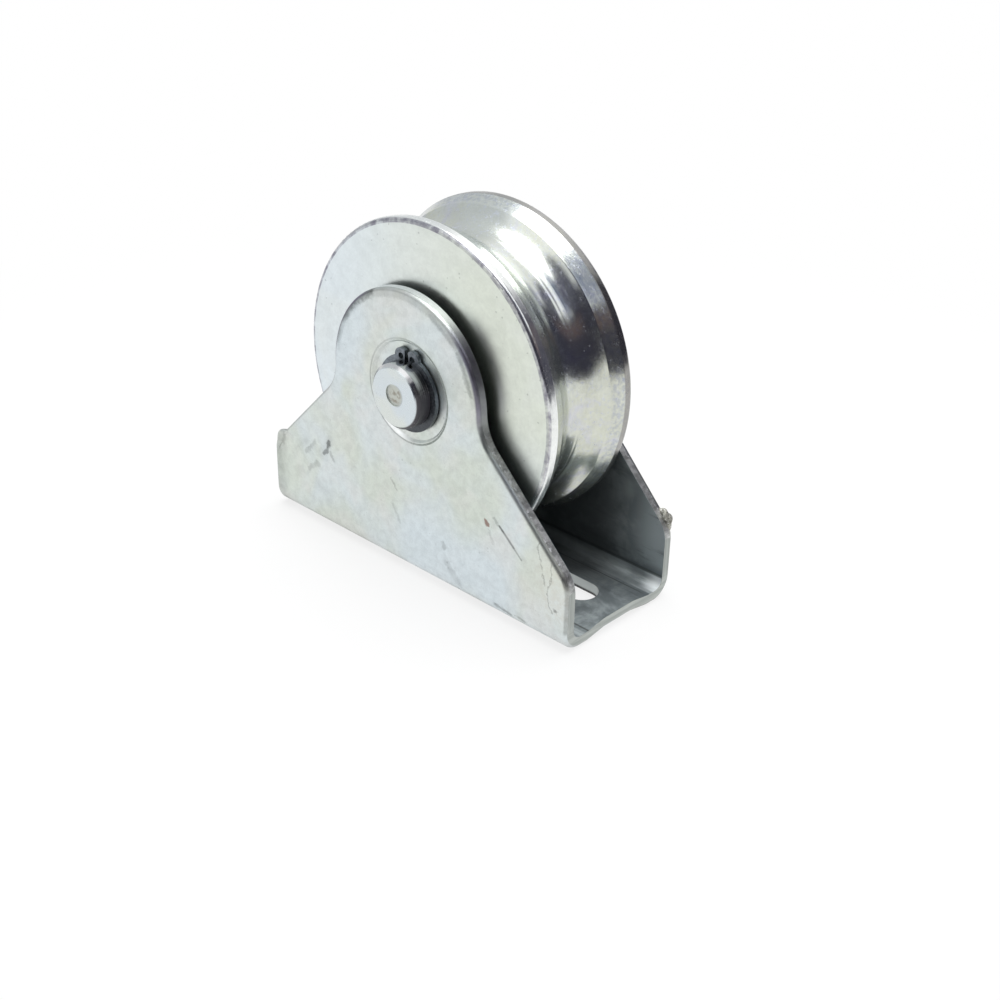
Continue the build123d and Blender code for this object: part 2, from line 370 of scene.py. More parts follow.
def build_room():
    """Painted room that only polished metal sees: one tone for each direction from the axle.

    point(azimuth, elevation) = axle + reach * (cos e cos a, cos e sin a, sin e). A patch of paint covers an
    ellipse of directions, squarer with a higher power:
    cover = smoothstep((1 - (across / width)^power - (up / height)^power) / rim).
    """
    azimuth = np.arange(-180, 181, 3.0)
    reach, lowest, highest = room_wall(azimuth)
    rise = np.linspace(0, 1, 34)[:, None]
    elevation = lowest + rise * (highest - lowest)
    flat = np.cos(elevation) * reach
    x = flat * np.cos(np.radians(azimuth))
    y = flat * np.sin(np.radians(azimuth))
    z = axle_height + reach * np.sin(elevation)
    tone = wall_tone(azimuth, np.degrees(elevation))
    mesh = grid_mesh("room", np.stack([x, y, z], axis=-1))
    paint = mesh.color_attributes.new("paint", "FLOAT_COLOR", "POINT")
    values = np.concatenate([tone, np.ones((*tone.shape[:2], 1))], axis=-1)
    paint.data.foreach_set("color", values.astype(np.float32).ravel())
    material, tree = new_material("room")
    color = add(tree, "Attribute", attribute_name="paint").outputs["Color"]
    glow = add(tree, "Emission", {"Color": color, "Strength": 1.0})
    add(tree, "OutputMaterial", {"Surface": glow.outputs[0]})
    mesh.materials.append(material)
    room = new_object("room", mesh)
    room.visible_camera = False
    room.visible_shadow = False
    room.visible_diffuse = False


def build_world():
    """White surroundings for the lens and for reflections, a soft grey fill for everything else."""
    world = bpy.data.worlds.new("studio")
    bpy.context.scene.world = world
    world.use_nodes = True
    tree = world.node_tree
    tree.nodes.clear()
    fill = add(tree, "Background", {"Color": (0.95, 0.97, 1.0, 1), "Strength": 0.30})
    white = add(tree, "Background", {"Color": (1, 1, 1, 1), "Strength": 1.0})
    mix = add(tree, "MixShader", {"Fac": seen_directly(tree), 1: fill.outputs[0], 2: white.outputs[0]})
    add(tree, "OutputWorld", {"Surface": mix.outputs[0]})


def add_softbox(name, place, target, width, depth, watts):
    """Rectangular soft light at place, aimed at target."""
    data = bpy.data.lights.new(name, "AREA")
    data.shape = "RECTANGLE"
    data.size = width
    data.size_y = depth
    data.energy = watts
    lamp = bpy.data.objects.new(name, data)
    lamp.location = place
    lamp.rotation_euler = (Vector(target) - Vector(place)).to_track_quat("-Z", "Y").to_euler()
    bpy.context.scene.collection.objects.link(lamp)


build_table()
build_room()
build_world()
add_softbox("overhead", place=(-0.05, 0.10, 1.0), target=axle, width=1.1, depth=1.1, watts=16)

bpy.context.scene.view_settings.view_transform = "Standard"


# -------------------- effects in several finishes
def zinc_bloom():
    """Uneven zinc: Cloud in wide patches, Tint in others, Mottle in blotches, Grain in the fine skin."""
    sockets = [("Place", "Vector", None), ("Spread", "Float", 0.02)]
    tree, given, made = new_group("zinc bloom", sockets, ["Cloud", "Tint", "Mottle", "Grain"])
    place = given["Place"]
    often = calc(tree, "DIVIDE", 1.0, given["Spread"])
    aside = vector(tree, "ADD", place, (0.31, 0.17, 0.23))
    cloud = noise(tree, place, often, 2.0, 0.5, 0.6)
    wide_tint = noise(tree, aside, calc(tree, "MULTIPLY", often, 1.4), 2.0, 0.5, 0.8)
    mottle = noise(tree, place, calc(tree, "MULTIPLY", often, 9.0), 5.0, 0.62, 0.4)
    grain = noise(tree, aside, calc(tree, "MULTIPLY", often, 45.0), 3.0, 0.6)
    tree.links.new(fade(tree, cloud, 0.36, 0.64), made["Cloud"])
    tree.links.new(fade(tree, wide_tint, 0.42, 0.68), made["Tint"])
    tree.links.new(fade(tree, mottle, 0.30, 0.72), made["Mottle"])
    tree.links.new(grain, made["Grain"])
    return tree


def speck_spots():
    """Small ragged spots, one in some of the cells that space is split into."""
    sockets = [
        ("Place", "Vector", None),
        ("Spacing", "Float", 0.003),
        ("Width", "Float", 0.2),
        ("Share", "Float", 0.3),
    ]
    tree, given, made = new_group("specks", sockets, ["Mask"])
    often = calc(tree, "DIVIDE", 1.0, given["Spacing"])
    finer = calc(tree, "MULTIPLY", often, 4.0)
    wander = add(tree, "TexNoise", {"Vector": given["Place"], "Scale": finer}).outputs["Color"]
    shift = vector(tree, "SUBTRACT", wander, (0.5, 0.5, 0.5))
    size = calc(tree, "MULTIPLY", given["Spacing"], 0.35)
    ragged = vector(tree, "SCALE", shift, Scale=size)
    place = vector(tree, "ADD", given["Place"], ragged)
    cells = add(tree, "TexVoronoi", {"Vector": place, "Scale": often})
    chance = add(tree, "SeparateColor", {0: cells.outputs["Color"]}).outputs
    width = calc(tree, "MULTIPLY", given["Width"], calc(tree, "ADD", chance[1], 0.35))
    spot = fade(tree, calc(tree, "DIVIDE", cells.outputs["Distance"], width), 1.0, 0.4)
    chosen = calc(tree, "LESS_THAN", chance[0], given["Share"])
    tree.links.new(calc(tree, "MULTIPLY", spot, chosen), made["Mask"])
    return tree


def long_scratches():
    """Thin straight scratches along one direction: round spots in a space that is stretched along them."""
    sockets = [
        ("Place", "Vector", None),
        ("Turn", "Vector", (0, 0, 0)),
        ("Length", "Float", 0.02),
        ("Spacing", "Float", 0.002),
        ("Width", "Float", 0.05),
        ("Share", "Float", 0.4),
    ]
    tree, given, made = new_group("scratches", sockets, ["Mask"])
    long = calc(tree, "DIVIDE", 1.0, given["Length"])
    close = calc(tree, "DIVIDE", 1.0, given["Spacing"])
    turned = add(tree, "Mapping", {"Vector": given["Place"], "Rotation": given["Turn"]}).outputs[0]
    place = vector(tree, "MULTIPLY", turned, point(tree, long, close, close))
    cells = add(tree, "TexVoronoi", {"Vector": place, "Scale": 1.0})
    chance = add(tree, "SeparateColor", {0: cells.outputs["Color"]}).outputs
    line = fade(tree, cells.outputs["Distance"], given["Width"], 0.0)
    chosen = calc(tree, "LESS_THAN", chance[0], given["Share"])
    tree.links.new(calc(tree, "MULTIPLY", line, chosen), made["Mask"])
    return tree


def single_mark():
    """One mark from Start to End: full on that line, gone at Width. The stronger of it and Before holds."""
    sockets = [
        ("Place", "Vector", None),
        ("Start", "Vector", (0, 0, 0)),
        ("End", "Vector", (0, 0, 0)),
        ("Width", "Float", 0.001),
        ("Depth", "Float", 1.0),
        ("Before", "Float", 0.0),
    ]
    tree, given, made = new_group("mark", sockets, ["Mask"])
    line = vector(tree, "SUBTRACT", given["End"], given["Start"])
    whole = vector(tree, "DOT_PRODUCT", line, line)
    reach = vector(tree, "SUBTRACT", given["Place"], given["Start"])
    along = vector(tree, "DOT_PRODUCT", reach, line)
    foot = vector(tree, "SCALE", line, Scale=held(tree, calc(tree, "DIVIDE", along, whole)))
    distance = vector(tree, "DISTANCE", reach, foot)
    near = fade(tree, calc(tree, "DIVIDE", distance, given["Width"]), 1.0, 0.3)
    mark = calc(tree, "MULTIPLY", near, given["Depth"])
    tree.links.new(calc(tree, "MAXIMUM", mark, given["Before"]), made["Mask"])
    return tree


def lathe_lines():
    """Turning marks round the axle: a pattern of the radius and the place along the axle only."""
    sockets = [("Place", "Vector", None), ("Pitch", "Float", 0.0004)]
    tree, given, made = new_group("lathe lines", sockets, ["Lines", "Bands"])
    x, y, z = split(tree, given["Place"])
    radius = from_axle(tree, x, z)
    wobble = calc(tree, "MULTIPLY", noise(tree, given["Place"], 25.0), 0.0003)
    profile = point(tree, calc(tree, "ADD", radius, wobble), y)
    often = calc(tree, "DIVIDE", 1.0, given["Pitch"])
    tree.links.new(noise(tree, profile, often, 4.0, 0.7), made["Lines"])
    tree.links.new(noise(tree, profile, calc(tree, "MULTIPLY", often, 0.12), 2.0), made["Bands"])
    return tree


bloom_effect = zinc_bloom()
speck_effect = speck_spots()
scratch_effect = long_scratches()
mark_effect = single_mark()
lathe_effect = lathe_lines()


# -------------------- finishes
bump_step = 0.000003  # metres of relief for a height of 1


def surface(tree, color, roughness, height, metallic=1.0):
    """Metal shader with that relief, joined to the output."""
    bump = add(tree, "Bump", {"Height": height, "Distance": bump_step, "Strength": 1.0}).outputs[0]
    inputs = {"Base Color": color, "Roughness": roughness, "Metallic": metallic, "Normal": bump}
    shader = add(tree, "BsdfPrincipled", inputs)
    add(tree, "OutputMaterial", {"Surface": shader.outputs[0]})


# Marks on the sheet: start and end along X and up Z, side along Y, width and strength. Lengths are in
# millimetres; front and rear are the ears' outer faces.
front = -19.25
rear = 19.25
dark_marks = [
    (-29.0, 25.9, -29.5, 24.2, front, 0.95, 0.62),
    (-29.4, 24.4, -29.9, 23.0, front, 0.80, 0.45),
    (-30.0, 23.1, -31.2, 21.9, front, 0.95, 0.55),
    (-28.6, 23.0, -27.4, 21.2, front, 0.70, 0.22),
    (-29.0, 26.6, -31.4, 21.2, front, 2.10, 0.10),
    (-38.0, 20.0, -36.0, 22.0, front, 0.90, 0.22),
    (-36.2, 21.8, -34.4, 24.4, front, 0.80, 0.15),
    (-37.2, 15.4, -34.0, 18.4, front, 0.85, 0.17),
    (-34.6, 17.4, -33.2, 18.0, front, 0.90, 0.13),
    (-41.8, 19.2, -38.0, 23.0, front, 1.30, 0.08),
    (-33.8, 13.0, -29.0, 9.0, front, 1.60, 0.07),
    (-6.4, 24.6, -4.3, 21.9, front, 0.50, 0.26),
    (-5.9, 17.4, -3.2, 13.2, front, 0.60, 0.12),
    (11.7, 13.6, 12.1, 12.4, front, 0.95, 0.24),
    (47.6, 10.9, 47.9, 10.8, front, 0.60, 0.50),
    (27.0, 23.2, 27.9, 20.4, front, 0.60, 0.13),
    (28.2, 26.9, 30.8, 24.8, front, 0.60, 0.22),
    # the next row is painted shade: a dark line down the front ear near its -X end
    (-46.2, 23.0, -47.2, 19.4, -19.30, 0.80, 0.16),
    (-12.6, 71.0, -18.5, 66.8, -18.90, 1.70, 0.42),
    (-18.5, 66.8, -22.6, 61.6, -18.90, 1.70, 0.50),
    (-22.6, 61.6, -25.0, 55.0, -18.90, 1.20, 0.28),
    (7.4, 70.6, 15.4, 65.6, front, 1.00, 0.16),
    (16.2, 64.4, 20.2, 55.4, front, 1.00, 0.22),
    (29.0, 4.0, 33.6, 3.4, -18.80, 0.90, 0.40),
    (35.2, 3.8, 38.2, 3.4, -18.70, 0.70, 0.32),
    (13.0, 8.6, 17.0, 4.4, -19.20, 1.40, 0.16),
    (24.0, 31.0, 30.5, 22.0, rear, 0.55, 0.30),
    (-12.0, 14.0, -15.0, 12.4, rear, 0.90, 0.32),
    (-33.0, 21.0, -30.0, 25.5, rear, 0.70, 0.25),
    (38.0, 12.0, 40.5, 9.5, rear, 0.80, 0.30),
]
# two broad patches of painted sky reflection, where the zinc is tinted bluer
painted_sky_patches = [(2, 9, 26, 9, front, 13.0, 0.8), (-25, 52, -20, 62, front, 10.0, 0.8)]
scar = [(30.0, 25.7, 34.6, 21.8, front, 0.50, 0.55), (33.6, 22.6, 37.0, 19.7, front, 0.38, 0.40)]
scar_dent = [(28.2, 26.6, 37.2, 19.8, front, 1.0, 1.0)]
rust_spot = [(25.6, 25.5, 26.4, 24.5, front, 0.80, 0.85)]
crack_lines = [
    [(46.6, 26.0), (46.0, 21.8), (46.2, 18.4), (45.2, 15.0), (45.4, 12.6)],
    [(42.6, 27.2), (41.7, 24.6), (42.9, 21.8), (43.6, 18.6), (44.6, 16.0)],
    [(45.4, 12.6), (46.8, 9.8)],
]
cracks = [(*start, *end, front, 0.30, 1.0) for line in crack_lines for start, end in zip(line, line[1:])]

# scratches on the sheet: direction as a turn about Y, length, spacing, width and share of the cells
score_sets = [
    (0.65, 0.012, 0.0022, 0.10, 0.16),
    (-0.9, 0.008, 0.0030, 0.09, 0.14),
    (0.08, 0.020, 0.0035, 0.08, 0.18),
]


def draw_marks(tree, place, rows):
    """Strength of the strongest of those marks: (x0, z0, x1, z1, y, width, strength), in millimetres."""
    drawn = 0.0
    for x0, z0, x1, z1, y, width, strength in rows:
        start, end = (x0 * mm, y * mm, z0 * mm), (x1 * mm, y * mm, z1 * mm)
        drawn = use(
            tree, mark_effect, Place=place, Start=start, End=end,
            Width=width * mm, Depth=strength, Before=drawn,
        )["Mask"]
    return drawn


def sheet_places(tree):
    """Places on the sheet: x, y, z, across and along from the middle, radius, and the place made ragged."""
    place = own_place(tree)
    x, y, z = split(tree, place)
    across = calc(tree, "ABSOLUTE", y)
    along = calc(tree, "ABSOLUTE", x)
    radius = from_axle(tree, x, z)
    wander = add(tree, "TexNoise", {"Vector": place, "Scale": 900.0, "Detail": 3.0}).outputs["Color"]
    # split and joined by hand: a colour linked straight to a vector takes room that this material lacks
    wander = point(tree, *add(tree, "SeparateColor", {0: wander}).outputs[:3])
    wander = vector(tree, "SUBTRACT", wander, (0.5, 0.5, 0.5))
    wander = vector(tree, "SCALE", wander, Scale=1.6 * mm)
    ragged = vector(tree, "ADD", place, wander)
    return SimpleNamespace(
        place=place, ragged=ragged, x=x, y=y, z=z, across=across, along=along, radius=radius,
    )


def sheet_patterns(tree, place):
    """Patterns all over the sheet: bloom, fine specks in patches, larger blots and three sets of scores."""
    bloom = use(tree, bloom_effect, Place=place, Spread=0.019)
    specks = use(tree, speck_effect, Place=place, Spacing=0.0013, Width=0.27, Share=0.50)["Mask"]
    specks = product(tree, specks, fade(tree, noise(tree, place, 70.0, 3.0, 0.6), 0.48, 0.66))
    blots = use(tree, speck_effect, Place=place, Spacing=0.0075, Width=0.13, Share=0.45)["Mask"]
    scores = []
    for turn, length, spacing, width, share in score_sets:
        score = use(
            tree, scratch_effect, Place=place, Turn=(0, turn, 0), Length=length, Spacing=spacing, Width=width,
            Share=share,
        )
        scores.append(score["Mask"])
    return SimpleNamespace(bloom=bloom, specks=specks, blots=blots, scores=largest(tree, *scores))


def sheet_zones(tree, at):
    """Where the sheet is an end face, a sheared edge, the rolled side of one, any cut metal or the inside.

    to_slot is the distance from the line between the middles of a slot's round ends.
    """
    end_face = fade(tree, at.along, channel_end - 0.00010, channel_end - 0.00003)
    sheared = product(
        tree,
        fade(tree, at.across, ear_inside + 0.00003, ear_inside + 0.00015),
        fade(tree, at.across, ear_outside, ear_outside - 0.00025),
        fade(tree, at.z, fold_top - 0.0005, fold_top + 0.0007),
        fade(tree, at.radius, seat_mouth + 0.0009, seat_mouth + 0.0013),
    )
    roll_start = ear_outside - die_roll
    rolled = product(tree, sheared, fade(tree, at.across, roll_start - 0.00005, roll_start + 0.00010))
    cut = largest(tree, end_face, calc(tree, "SUBTRACT", sheared, rolled))
    past_straight = calc(tree, "SUBTRACT", away(tree, at.along, slot_middle), slot_straight)
    to_slot = vector(tree, "LENGTH", point(tree, calc(tree, "MAXIMUM", past_straight, 0.0), at.y))
    inside = product(
        tree,
        fade(tree, at.across, ear_inside + 0.00015, ear_inside + 0.00005),
        fade(tree, at.z, sheet_top - 0.0007, sheet_top - 0.0002),
        fade(tree, cut, 1.0, 0.0),
        fade(tree, to_slot, slot_radius + 0.00001, slot_radius + 0.00005),
    )
    return SimpleNamespace(
        end_face=end_face, sheared=sheared, rolled=rolled, cut=cut, to_slot=to_slot, inside=inside,
    )


def plated_outside(tree, at, skin, zone):
    """Plated outside: bloom, knocks, cracks, a scar and a rust spot, a painted sky reflection, and painted
    shade darkening the foot, the -X end and the edges.
    """
    bloom = skin.bloom
    blue = draw_marks(tree, at.place, painted_sky_patches)
    pale = blend(tree, bloom["Cloud"], (0.640, 0.690, 0.630), (0.665, 0.725, 0.735))
    pale = tint(tree, pale, (0.725, 0.715, 0.695), bloom["Tint"], 0.40)
    # painted reflection: two broad patches of sky turn the zinc bluer
    pale = tint(tree, pale, (0.672, 0.745, 0.785), blue)
    stain = product(
        tree,
        fade(tree, at.x, 0.036, 0.047),
        fade(tree, at.z, 0.030, 0.020),
        fade(tree, at.z, 0.004, 0.012),
    )
    stain = product(tree, stain, between(tree, bloom["Mottle"], 0.25, 0.65))
    pale = tint(tree, pale, (0.725, 0.710, 0.630), stain)
    tone = weighted(
        tree,
        (bloom["Mottle"], -0.11),
        (bloom["Grain"], -0.20),
        (skin.specks, -0.22),
        (skin.blots, -0.08),
        (skin.scores, -0.08),
        (1.0, 1.15),
    )
    marks = draw_marks(tree, at.ragged, dark_marks)
    lines = draw_marks(tree, at.ragged, cracks)
    # painted shade along the foot of the sheet, patchy with the cloud
    foot = product(tree, fade(tree, at.z, 0.0036, 0.0004), between(tree, bloom["Cloud"], 0.62, 0.28))
    # painted shade over the last few millimetres towards the -X end
    left_end_shade = product(tree, fade(tree, at.x, -0.0445, -0.0490), 0.17)
    roll_shade = product(tree, zone.rolled, between(tree, fade(tree, at.z, 0.048, 0.040), 0.26, 0.34))
    lean = calc(tree, "MULTIPLY", calc(tree, "SIGN", at.y), ear_lean)
    ear_reach = from_axle(tree, calc(tree, "SUBTRACT", at.x, lean), at.z)
    ear_reach = weighted(tree, (bloom["Grain"], 0.0008), (ear_reach, 1.0))
    roll_start = ear_round - die_roll
    rim_shade = product(
        tree,
        fade(tree, ear_reach, roll_start - 0.0010, roll_start),
        fade(tree, at.z, axle_height + 0.0005, axle_height + 0.0065),
        fade(tree, at.across, ear_outside - 0.00045, ear_outside - 0.00025),
    )
    scars = draw_marks(tree, at.place, scar)
    tone = weighted(
        tree,
        (tone, 1.0),
        (marks, -0.95),
        (lines, -0.30),
        (scars, -0.95),
        (foot, -1.0),
        (left_end_shade, -1.3),
        (roll_shade, -1.0),
        (rim_shade, -0.13),
    )
    pale = shaded(tree, pale, tone)
    pale = tint(tree, pale, (0.26, 0.16, 0.13), draw_marks(tree, at.ragged, rust_spot))
    return SimpleNamespace(color=pale, marks=marks, rim_shade=rim_shade)


def sheared_edge(tree, at, skin, zone):
    """Sheared edge: torn speckled grey metal with painted glints, smoother and plated over the round top,
    which carries a painted highlight and a painted dark reflection; streaked end faces.
    """
    torn = noise(tree, stretch(tree, at.place, (620, 380, 620)), 1.0, 5.0, 0.68)
    shear = blend(tree, fade(tree, torn, 0.36, 0.64), (0.33, 0.34, 0.335), (0.66, 0.67, 0.66))
    # painted glints: white flecks along the outer side of the sheared edges
    painted_glint = product(
        tree,
        fade(tree, noise(tree, at.place, 900.0, 2.0), 0.54, 0.64),
        fade(tree, at.across, 0.0170, 0.0178),
        zone.sheared,
    )
    shear = tint(tree, shear, (0.90, 0.91, 0.92), painted_glint)
    burnt = fade(tree, noise(tree, at.place, 220.0, 3.0), 0.54, 0.70)
    shear = tint(tree, shear, (0.42, 0.39, 0.32), burnt, 0.35)
    crown = fade(tree, at.z, axle_height - 0.0055, axle_height + 0.0025)
    # the round top is plated and paler; this near-white is also a painted highlight from above
    shear = tint(tree, shear, (0.90, 0.92, 0.93), crown, 0.90)
    # painted dark reflection: dark violet over the upper sheared edges, away from the middle
    painted_dark_reflection = product(
        tree, zone.sheared, crown, fade(tree, at.along, 0.0120, 0.0175), between(tree, torn, 0.60, 1.0),
    )
    upright = noise(tree, stretch(tree, at.place, (300, 1300, 40)), 1.0, 3.0, 0.6)
    level = noise(tree, stretch(tree, at.place, (300, 60, 900)), 1.0, 3.0, 0.6)
    streaks = between(tree, fade(tree, at.z, fold_top - 0.0010, fold_top + 0.0015), level, upright)
    end_metal = blend(tree, fade(tree, streaks, 0.34, 0.66), (0.40, 0.43, 0.41), (0.53, 0.56, 0.535))
    upper = fade(tree, at.z, fold_top - 0.0005, fold_top + 0.0025)
    end_metal = tint(tree, end_metal, (0.20, 0.22, 0.21), upper, 0.26)
    end_metal = tint(tree, end_metal, (0.32, 0.32, 0.29), skin.specks, 0.5)
    shear = blend(tree, zone.end_face, shear, end_metal)
    return SimpleNamespace(color=shear, torn=torn, crown=crown, painted_dark_reflection=painted_dark_reflection)


def dust_and_shade_inside(tree, at, skin):
    """Oily dust over the zinc in a dark tone that is partly painted shade: near black under the wheel,
    lighter towards the wall ends as painted light, with painted highlights along the folds and painted shade
    lines in the creases.
    """
    dust = noise(tree, at.place, 90.0, 6.0, 0.62, 0.5)
    under_wheel_shade = fade(tree, at.along, 0.0465, 0.030)
    drag = noise(tree, stretch(tree, at.place, (45, 420, 420), (0, 0.12, 0.05)), 1.0, 5.0, 0.65)
    # dusty tone, kept dark as painted shade of the channel's inside
    slate = blend(tree, fade(tree, dust, 0.38, 0.64), (0.165, 0.190, 0.200), (0.36, 0.405, 0.415))
    wall_end_light = product(
        tree, fade(tree, at.z, fold_top + 0.0005, fold_top + 0.0035), fade(tree, at.along, 0.036, 0.050),
    )
    # painted light: the walls lighter towards the open ends
    slate = tint(tree, slate, (0.46, 0.52, 0.54), wall_end_light, 0.75)
    slate = tint(tree, slate, (0.11, 0.12, 0.13), fade(tree, drag, 0.52, 0.66), 0.55)
    # painted shade: near black towards the middle, under the wheel
    slate = tint(tree, slate, (0.115, 0.125, 0.132), under_wheel_shade, 0.72)
    slate = tint(tree, slate, (0.10, 0.105, 0.11), skin.blots, 0.5)
    strip = product(
        tree,
        fade(tree, at.across, ramp_foot + 0.0006, ramp_foot + 0.0012),
        fade(tree, at.z, fold_top + 0.0005, fold_top - 0.0005),
    )
    fold_highlight = product(
        tree,
        strip,
        fade(tree, at.along, 0.020, 0.050),
        between(tree, fade(tree, drag, 0.42, 0.62), 0.25, 0.9),
    )
    # painted highlight along the fold strip, broken up by the drag streaks
    slate = tint(tree, slate, (0.62, 0.68, 0.69), fold_highlight)
    corner_highlight = product(
        tree,
        strip,
        fade(tree, at.along, channel_end - 0.0055, channel_end - 0.0010),
        fade(tree, at.y, ramp_foot + 0.0012, ramp_foot + 0.0025),
    )
    # painted highlight near the ends of the fold strip on the +Y side
    slate = tint(tree, slate, (0.92, 0.97, 0.98), corner_highlight)
    wall_foot_shade = product(
        tree,
        fade(tree, away(tree, at.z, fold_top + 0.0002), 0.0006, 0.0002),
        fade(tree, at.across, ear_inside - 0.00085, ear_inside - 0.00045),
    )
    # painted shade: a dark line at the foot of each inner wall
    slate = tint(tree, slate, (0.07, 0.08, 0.08), wall_foot_shade, 0.7)
    crease_shade = product(
        tree,
        fade(tree, away(tree, at.across, ramp_foot - 0.0002), 0.00035, 0.0001),
        fade(tree, at.z, fold_top + 0.0015, fold_top - 0.0005),
        fade(tree, dust, 0.34, 0.50),
    )
    # painted shade: a dark line along the crease at the raised floor's foot
    slate = tint(tree, slate, (0.07, 0.075, 0.075), crease_shade, 0.75)
    return SimpleNamespace(color=slate, dust=dust, under_wheel_shade=under_wheel_shade)


def seat_ring(tree, at, bloom, color):
    """The coined seat's ring: a painted highlight on its wall low down towards -X, and painted shade as a
    dark line round its mouth, most towards +X.
    """
    highlight_side = calc(
        tree, "SUBTRACT", calc(tree, "MULTIPLY", at.x, -0.85), calc(tree, "SUBTRACT", at.z, axle_height),
    )
    wall = product(
        tree,
        fade(tree, at.radius, seat_mouth - 0.0008, seat_mouth - 0.0004),
        fade(tree, at.radius, seat_mouth + 0.0003, seat_mouth),
    )
    # painted highlight: the seat's wall white low down towards -X
    color = tint(tree, color, (0.97, 1.0, 1.0), wall, fade(tree, highlight_side, 0.0115, 0.0150))
    lip_shade = product(
        tree,
        fade(tree, at.radius, seat_mouth - 0.00005, seat_mouth + 0.00015),
        fade(tree, at.radius, seat_mouth + 0.00065, seat_mouth + 0.00040),
        fade(tree, bloom["Grain"], 0.15, 0.50),
    )
    lip_shade = product(tree, lip_shade, between(tree, fade(tree, at.x, -0.006, 0.008), 0.24, 0.95))
    # painted shade: a dark line round the seat's mouth, darkest towards +X
    return tint(tree, color, (0.22, 0.25, 0.23), lip_shade)


def plated_sheet():
    """Zinc on the folded sheet: bloomed outside, grey sheared edges, bare slot walls, dusty inside with
    painted shade and highlights.
    """
    material, tree = new_material("zinc on folded sheet")
    at = sheet_places(tree)
    skin = sheet_patterns(tree, at.place)
    zone = sheet_zones(tree, at)
    bloom = skin.bloom
    outside = plated_outside(tree, at, skin, zone)
    edge = sheared_edge(tree, at, skin, zone)
    channel = dust_and_shade_inside(tree, at, skin)

    color = blend(tree, zone.cut, outside.color, edge.color)
    # painted dark reflection on the upper sheared edges
    color = tint(tree, color, (0.20, 0.185, 0.25), edge.painted_dark_reflection)
    color = blend(tree, zone.inside, color, channel.color)
    slot_wall = product(
        tree,
        fade(tree, zone.to_slot, slot_radius + 0.00005, slot_radius + 0.00001),
        fade(tree, at.across, slot_radius + 0.00035, slot_radius + 0.00015),
    )
    # slot walls grey, near black along their lower part
    wall_metal = blend(tree, fade(tree, at.z, 0.0014, 0.0019), (0.06, 0.06, 0.06), (0.40, 0.43, 0.425))
    color = blend(tree, slot_wall, color, wall_metal)

    rough = weighted(tree, (bloom["Mottle"], 0.10), (outside.marks, 0.2), (skin.specks, 0.1), (1.0, 0.33))
    ramp = calc(tree, "DIVIDE", calc(tree, "SUBTRACT", at.radius, seat_mouth - 0.0008), 0.0012)
    ramp = held(tree, ramp)
    rough = between(tree, outside.rim_shade, rough, 0.55)
    rough = between(tree, zone.cut, rough, between(tree, edge.crown, 0.46, 0.30))
    rough = between(tree, zone.inside, rough, between(tree, channel.dust, 0.36, 0.56))
    color = seat_ring(tree, at, bloom, color)

    dull = product(tree, zone.inside, between(tree, channel.under_wheel_shade, 0.50, 0.30))
    dent = draw_marks(tree, at.place, scar_dent)
    swell = noise(tree, at.place, 55.0, 2.0)
    tear = product(tree, edge.torn, zone.cut, between(tree, edge.crown, 9.0, 2.0))
    height = weighted(
        tree,
        (swell, 30.0),
        (bloom["Mottle"], 2.2),
        (bloom["Grain"], 1.6),
        (dent, -26.0),
        (skin.specks, -2.0),
        (skin.scores, -1.2),
        (tear, 1.0),
        (ramp, -165.0),
    )
    surface(tree, color, rough, height, calc(tree, "SUBTRACT", 1.0, dull))
    return material


def wheel_faces(tree, x, z, bloom):
    """Smooth plated faces, bluer towards -X and greener high up towards +X: plating hue together with a
    painted reflection.
    """
    # plating hue with a painted reflection: bluer towards -X, greener high up towards +X
    right = blend(tree, fade(tree, z, 0.052, 0.034), (0.712, 0.755, 0.675), (0.725, 0.785, 0.750))
    face = blend(tree, fade(tree, x, 0.022, -0.036), right, (0.735, 0.800, 0.835))
    return tint(tree, face, (0.735, 0.765, 0.735), bloom["Tint"], 0.35)


def polished_round(tree, place, y, bloom, grit):
    """Polished groove and flanks: straw and grey clouds, a violet cast, blue grit, the rear flank mottled and
    darkened as a painted dark reflection.
    """
    polished = blend(tree, bloom["Cloud"], (0.640, 0.660, 0.575), (0.655, 0.690, 0.660))
    violet = fade(tree, noise(tree, place, 120.0, 3.0, 0.6, 1.0), 0.50, 0.74)
    polished = tint(tree, polished, (0.580, 0.580, 0.730), violet, 0.50)
    polished = tint(tree, polished, (0.58, 0.62, 0.78), grit, 0.45)
    rear_flank_reflection = fade(tree, y, groove_edge + 0.0002, groove_edge + 0.0010)
    mottled = fade(tree, noise(tree, place, 900.0, 4.0, 0.65), 0.42, 0.60)
    # painted dark reflection: the rear flank darker and bluer, mottled
    return tint(tree, polished, (0.36, 0.39, 0.50), rear_flank_reflection, mottled, 0.40)


def wheel_rims(tree, color, y, z, across, radius, bloom):
    """The lands on both rims, a painted highlight in front and painted shade behind, and a mottled painted
    shade line along the edge of each face.
    """
    land = fade(tree, radius, wheel_radius - 0.0008, wheel_radius - 0.0003)
    land_start = wheel_face - rim_land
    front_land_highlight = fade(tree, y, -land_start + 0.00035, -land_start - 0.00005)
    # painted highlight on the front rim's land
    color = tint(tree, color, (0.92, 0.94, 0.93), land, front_land_highlight, 0.85)
    rear_land_shade = fade(tree, y, land_start - 0.00035, land_start + 0.00005)
    # painted shade on the rear rim's land
    color = tint(tree, color, (0.30, 0.29, 0.28), land, rear_land_shade, 0.80)
    edge = product(
        tree,
        fade(tree, across, wheel_face - 0.00070, wheel_face - 0.00045),
        fade(tree, radius, wheel_radius - 0.00135, wheel_radius - 0.00115),
    )
    edge = product(
        tree,
        edge,
        between(tree, bloom["Mottle"], 0.20, 0.95),
        between(tree, fade(tree, z, 0.026, 0.046), 0.25, 1.0),
    )
    # painted shade: a mottled dark line along the edge of each face, strongest high up
    return tint(tree, color, (0.21, 0.20, 0.26), edge)


